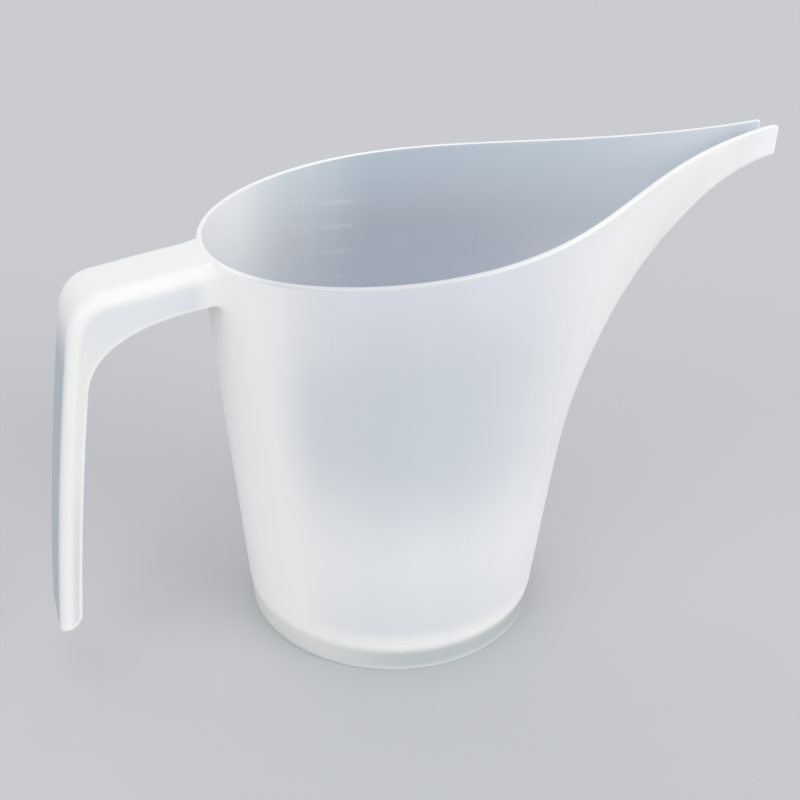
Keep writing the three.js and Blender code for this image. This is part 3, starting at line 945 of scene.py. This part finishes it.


# Tones of the plastic, in which the light and shade of the translucent cup are painted
# A row says what is measured, where its tone begins to show, where it is full, and the tone.
# Places are in metres, and later rows lie over earlier ones.
# Painted light and shade of the outer wall: blue-grey at mid height, paler below, above and towards
# the spout
LOWEST_WALL = linear(224, 227, 229)
WALL_TONES = (
    ("z", 0.018, 0.045, linear(231, 233, 234)),
    ("z", 0.04, 0.085, linear(206, 211, 218)),
    ("z", 0.1, 0.14, linear(219, 222, 229)),
    ("x", -0.02, 0.05, linear(248, 248, 247)),
    ("x", 0.045, 0.085, linear(253, 251, 248)),
    ("x", 0.098, 0.115, linear(244, 245, 244)),
)
# Painted shade of the foot band: lighter on the handle's side and at its lower edge, darker towards
# the spout
SHADED_FOOT = linear(193, 199, 200)
FOOT_TONES = (
    ("to_handle", 0.2, 0.9, linear(226, 228, 224)),
    ("to_handle", -0.1, -0.8, linear(189, 192, 194)),
    ("z", 0.003, 0.0002, linear(217, 222, 221)),
)
FOOT_BAND = (0.0095, 0.0062)
# Painted highlight: a white band on the wall just above the foot
OVER_FOOT = linear(250, 249, 246)
OVER_FOOT_BAND = (0.018, 0.0095)
OVER_FOOT_SHARE = 0.75
# Painted light and shade on the rim: greyer on the near side by the grip, paler towards the spout,
# on the far side and by the handle's root
GRIP_SIDE_RIM = linear(219, 222, 226)
RIM_TONES = (
    ("x", -0.03, 0.03, linear(249, 249, 247)),
    ("y", -0.01, 0.02, linear(246, 247, 248)),
    ("to_handle", 0.8, 0.95, linear(247, 248, 246)),
)
# Painted shade of the inner face: greyest in the middle, paler deep down and towards the spout
INNER_WALL = linear(189, 195, 205)
INNER_TONES = (
    ("below_rim", 0.022, 0.055, linear(213, 219, 231)),
    ("below_rim", 0.024, 0.003, linear(185, 198, 207)),
    ("x", 0.01, 0.11, linear(209, 216, 223)),
)
INNER_MARKS = (0.55, 0.95)  # between these the rim's mark turns into the inner face's
# Painted light and shade of the flanges: darker low down and near the top, palest at mid height
LOW_FLANGE = linear(219, 221, 220)
FLANGE_TONES = (
    ("z", 0.035, 0.08, linear(234, 234, 231)),
    ("z", 0.1, 0.122, linear(225, 229, 232)),
)
# White of the handle's thick edges: partly the thick plastic's own, partly painted light
THICK_LIT_HANDLE = linear(243, 243, 241)
# Flanges paler where they run into the cup: partly the fillet's thick plastic, partly painted light
# over the shade at the joint
ROOTED_HANDLE = linear(250, 250, 248)
# Painted shade on the grip's back, which faces away from the key light
SHADED_GRIP_BACK = linear(178, 185, 194)
# Painted light of the scale's ghost on the inner face
SEEN_TONE = linear(222, 226, 234)
# Tones of the scale's relief, set off against the wall's painted light and shade
LOW_RELIEF = linear(205, 211, 217)
HIGH_RELIEF = linear(242, 244, 245)
RELIEF_TURNS = (0.0535, 0.0585)  # heights over which the one gives way to the other

# Places where a tone shows only as far as all of its rows agree
FLANGE_PLACE = (
    ("from_back", 0.0026, 0.0056),
    ("from_edge", 0.0006, 0.0018),
    ("x", -0.066, -0.073),
)
# Where the flanges run into the cup and take that painted light
ROOTED_PLACE = (("x", -0.078, -0.0715), ("from_back", 0.0005, 0.003))
# The grip's back, where the painted shade shows
SHADED_GRIP_PLACE = (
    ("from_back", 0.003, 0.0005),
    ("from_middle", 0.0122, 0.0078),
    ("z", 0.122, 0.1),
)

# Painted light: white that the handle lends the wall beside it
# A row of three says where it begins to show, where it is full, and its share.
GLOW_TONE = linear(250, 250, 248)
GLOW_WIDE = (0.4, 0.85)
GLOW_CLOSE = (0.68, 0.92)
GLOW_SPREAD = 0.6
GLOW_SPREAD_CHANGES = ((0.05, 0.085, -0.32), (0.095, 0.12, 0.22))
# Painted light on the inner face by the handle
INNER_GLOW_TONE = linear(253, 253, 252)
INNER_GLOW = ((0.006, -0.034, 0.36), (-0.026, -0.056, 0.64))

# The scale's ghost on the inner face, painted light that the raised marks behind it scatter through
# the wall
SEEN_LINE_EDGE = (0.0012, 0.0002)  # from a line's middle, up and down
SEEN_LINE_ENDS = (0.0066, 0.0052)
SEEN_SIDE = (0.0, 0.01)

# Fine structure of frosted polypropylene
CLOUD_SCALE = 24.0
FLOW_SCALE = (140.0, 140.0, 9.0)
GRAIN_SCALE = 2400.0
WAVE_SCALE = 55.0
LEAST_TONE, CLOUD_TONE, STREAK_TONE = 0.955, 0.055, 0.035
SATIN, CLOUD_SATIN, STREAK_SATIN = 0.34, 0.14, 0.08
GRAIN_HEIGHT = 0.000012
WAVE_HEIGHT = 0.00018
PLASTIC_IOR = 1.49

# Table, surroundings and lamps
TABLE = linear(204, 206, 209)
TABLE_FAR = linear(202, 204, 208)
TABLE_REACH = 30.0
TABLE_ROUGHNESS = 0.9
SURROUNDINGS = (0.97, 0.98, 1.0, 1.0)
SURROUNDINGS_STRENGTH = 0.66
LAMPS = (  # name, where from, strength, softness in degrees, colour
    ("key", (1.5, -2.1, 0.9), 1.1, 45.0, (1, 0.99, 0.98)),
    ("fill", (-2.3, -1.3, 0.7), 0.9, 60.0, (1, 0.99, 0.99)),
    ("top", (0.1, 0.3, 2.6), 0.26, 60.0, (1, 0.99, 0.98)),
    ("back", (-0.3, 2.0, 1.5), 0.3, 60.0, (1, 1, 1)),
)


def toned(colour, measures, tones):
    """A colour with a list of tones laid over it."""
    for name, begin, full, tone in tones:
        colour = mixed(measures[name].ramp(begin, full), colour, tone)
    return colour


def agreed(measures, rows):
    """How far several ramps agree, from 0 to 1."""
    parts = [measures[name].ramp(begin, full) for name, begin, full in rows]
    whole = parts[0]
    for part in parts[1:]:
        whole = whole * part
    return whole


def shared(measure, rows):
    """The sum of two ramps of one measure, each with its share."""
    first, second = (measure.ramp(begin, full) * share for begin, full, share in rows)
    return first + second


def frosted(name, paint):
    """Frosted polypropylene whose colour paint works out from the place on the piece."""
    material = bpy.data.materials.new(name)
    material.use_nodes = True
    tree = material.node_tree
    tree.nodes.clear()
    place = Wire(tree, tree.nodes.new("ShaderNodeTexCoord").outputs["Object"])

    def noise(scale, detail, vector=place):
        return place.make("ShaderNodeTexNoise", None,
                          {"Vector": vector, "Scale": scale, "Detail": detail})

    clouds = noise(CLOUD_SCALE, 3.0)
    flow = place.make("ShaderNodeMapping", None, {"Vector": place, "Scale": FLOW_SCALE})
    streaks = noise(1.0, 2.0, flow)
    grain = noise(GRAIN_SCALE, 2.0)
    waves = noise(WAVE_SCALE, 1.0)
    tone = LEAST_TONE + clouds * CLOUD_TONE + streaks * STREAK_TONE
    shade = tone.make("ShaderNodeVectorMath", {"operation": "SCALE"},
                      {0: paint(place), "Scale": tone})
    relief = grain * GRAIN_HEIGHT + waves * WAVE_HEIGHT
    bump = relief.make("ShaderNodeBump", None,
                       {"Height": relief, "Strength": 1.0, "Distance": 1.0})
    satin = SATIN + clouds * CLOUD_SATIN + streaks * STREAK_SATIN
    skin = tree.nodes.new("ShaderNodeBsdfPrincipled")
    tree.links.new(shade.socket, skin.inputs["Base Color"])
    tree.links.new(satin.socket, skin.inputs["Roughness"])
    tree.links.new(bump.socket, skin.inputs["Normal"])
    skin.inputs["IOR"].default_value = PLASTIC_IOR
    out = tree.nodes.new("ShaderNodeOutputMaterial")
    tree.links.new(skin.outputs[0], out.inputs[0])
    return material


def frosted_body(heights):
    """The cup's plastic, with the light and shade of translucent plastic painted into its colour:
    whiter by the handle, the spout and just above the foot, bluer at mid height and on the inner
    face.
    """
    def paint(place):
        x, y, z = apart(place)
        to_handle = (AXIS_X - x) / (BASE_RADIUS + TAPER * z)
        measures = {"x": x, "y": y, "z": z, "to_handle": to_handle}
        outside = toned(LOWEST_WALL, measures, WALL_TONES)
        outside = mixed(handle_glow(to_handle, z), outside, GLOW_TONE)
        outside = mixed(z.ramp(*OVER_FOOT_BAND) * OVER_FOOT_SHARE, outside, OVER_FOOT)
        outside = mixed(z.ramp(*FOOT_BAND), outside, toned(SHADED_FOOT, measures, FOOT_TONES))
        within = mixed(seen_lines(x, y, z, heights), inner_colour(x, z), SEEN_TONE)
        inner_face = attribute(place, "inside").ramp(*INNER_MARKS)
        rim = toned(GRIP_SIDE_RIM, measures, RIM_TONES)
        return mixed(attribute(place, "edge"), mixed(inner_face, outside, within), rim)

    return frosted("frosted body", paint)


def handle_glow(to_handle, z):
    """Painted light: how white the outside is on the handle's side, less widely so at mid height.
    """
    spread = GLOW_SPREAD + shared(z, GLOW_SPREAD_CHANGES)
    return to_handle.ramp(*GLOW_WIDE) * spread + to_handle.ramp(*GLOW_CLOSE) * (1 - spread)


def inner_colour(x, z):
    """The inner face's painted light and shade: palest by the handle and under the rim, greyest in
    the middle of the cup.
    """
    below_rim = (RIM_HEIGHT + RIM_SLOPE * (x - AXIS_X)) - z
    within = toned(INNER_WALL, {"below_rim": below_rim, "x": x}, INNER_TONES)
    return mixed(shared(x, INNER_GLOW), within, INNER_GLOW_TONE)


def seen_lines(x, y, z, heights):
    """Where the raised lines show through the wall as a paler ghost on its inner face, painted
    light.
    """
    distances = [(z - (height + SEEN_LIFT)).maths("ABSOLUTE") for height in heights]
    nearest = distances[0]
    for distance in distances[1:]:
        nearest = nearest.maths("MINIMUM", distance)
    line = nearest.ramp(*SEEN_LINE_EDGE) * y.ramp(*SEEN_SIDE)
    return line * (x - AXIS_X).maths("ABSOLUTE").ramp(*SEEN_LINE_ENDS) * SEEN_SHARE


def frosted_handle():
    """The handle's plastic: white on its thick edges and bluer on the flanges, partly painted light
    and shade, with painted shade on the grip's back and painted light where the flanges meet the
    cup.
    """
    def paint(place):
        x, y, z = apart(place)
        measures = {
            "x": x, "z": z, "from_middle": y.maths("ABSOLUTE"),
            "from_back": attribute(place, "from_back"),
            "from_edge": attribute(place, "from_edge"),
        }
        flange = toned(LOW_FLANGE, measures, FLANGE_TONES)
        colour = mixed(agreed(measures, FLANGE_PLACE), THICK_LIT_HANDLE, flange)
        colour = mixed(agreed(measures, ROOTED_PLACE), colour, ROOTED_HANDLE)
        return mixed(agreed(measures, SHADED_GRIP_PLACE), colour, SHADED_GRIP_BACK)

    return frosted("frosted handle", paint)


def moulded_relief():
    """The scale's raised lines and numerals: whiter than the wall's painted blue-grey, bluer than
    where it is painted white.
    """
    def paint(place):
        return mixed(apart(place)[2].ramp(*RELIEF_TURNS), LOW_RELIEF, HIGH_RELIEF)

    return frosted("moulded relief", paint)


def seen_relief():
    """Painted light: the inner face where the numerals behind it scatter a little more light."""
    def paint(place):
        x, _, z = apart(place)
        return place.make("ShaderNodeMix", {"data_type": "RGBA"},
                          {0: SEEN_SHARE, 6: inner_colour(x, z), 7: SEEN_TONE}, output=2)

    return frosted("seen relief", paint)


def plain_floor():
    """Pale table top that runs past the view."""
    mesh = bpy.data.meshes.new("table_top")
    mesh.from_pydata(
        [(-TABLE_REACH, -TABLE_REACH, 0), (TABLE_REACH, -TABLE_REACH, 0),
         (TABLE_REACH, TABLE_REACH, 0), (-TABLE_REACH, TABLE_REACH, 0)],
        [], [(0, 1, 2, 3)],
    )
    floor = bpy.data.objects.new("table_top", mesh)
    bpy.context.scene.collection.objects.link(floor)
    material = bpy.data.materials.new("pale table")
    material.use_nodes = True
    skin = material.node_tree.nodes["Principled BSDF"]
    skin.inputs["Base Color"].default_value = TABLE
    skin.inputs["Roughness"].default_value = TABLE_ROUGHNESS
    skin.inputs["Specular IOR Level"].default_value = 0.0
    mesh.materials.append(material)


def soft_sun(name, place, strength, softness, colour):
    """Light that comes evenly from one side, softly edged, so that the floor has no pool of it."""
    lamp = bpy.data.lights.new(name, "SUN")
    lamp.energy = strength
    lamp.angle = math.radians(softness)
    lamp.color = colour
    holder = bpy.data.objects.new(name, lamp)
    holder.location = place
    holder.rotation_euler = Vector(place).to_track_quat("Z", "Y").to_euler()
    bpy.context.scene.collection.objects.link(holder)


def studio():
    """Even pale surroundings, a broad key light from the spout's side and three weaker ones."""
    world = bpy.data.worlds.new("surroundings")
    bpy.context.scene.world = world
    world.use_nodes = True
    tree = world.node_tree
    background = tree.nodes["Background"]
    rays = tree.nodes.new("ShaderNodeLightPath")
    seen = Wire(tree, rays.outputs["Is Camera Ray"])
    strength = SURROUNDINGS_STRENGTH + seen * (1 - SURROUNDINGS_STRENGTH)
    tree.links.new(mixed(seen, SURROUNDINGS, TABLE_FAR).socket, background.inputs["Color"])
    tree.links.new(strength.socket, background.inputs["Strength"])
    for lamp in LAMPS:
        soft_sun(*lamp)
    bpy.context.scene.view_settings.view_transform = "Standard"


def photograph_camera():
    lens = bpy.data.cameras.new("photograph camera")
    lens.lens = CAMERA_LENS
    lens.sensor_width = CAMERA_SENSOR
    lens.clip_start = CAMERA_NEAREST
    camera = bpy.data.objects.new("photograph camera", lens)
    camera.location = CAMERA_PLACE
    camera.rotation_mode = "QUATERNION"
    level = (CAMERA_AIM - CAMERA_PLACE).to_track_quat("-Z", "Y")
    camera.rotation_quaternion = level @ Quaternion((0, 0, 1), CAMERA_ROLL)
    bpy.context.scene.collection.objects.link(camera)
    bpy.context.scene.camera = camera


photograph_camera()
studio()
plain_floor()
heights = scale_heights()

body = moulded_body()
body.data.materials.append(frosted_body(heights))
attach(body, "root")
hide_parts("cup_wall", "pouring_spout", "cup_floor", "foot_ring")

handle = channel_handle()
handle.data.materials.append(frosted_handle())
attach(handle, "root")
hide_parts("handle_web", "handle_flange_near", "handle_flange_far")

relief = moulded_relief()
lines = raised_lines(heights, relief)
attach(lines, "root")
for numerals in (raised_numerals(heights, relief), seen_numerals(heights, seen_relief())):
    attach(numerals, "root")
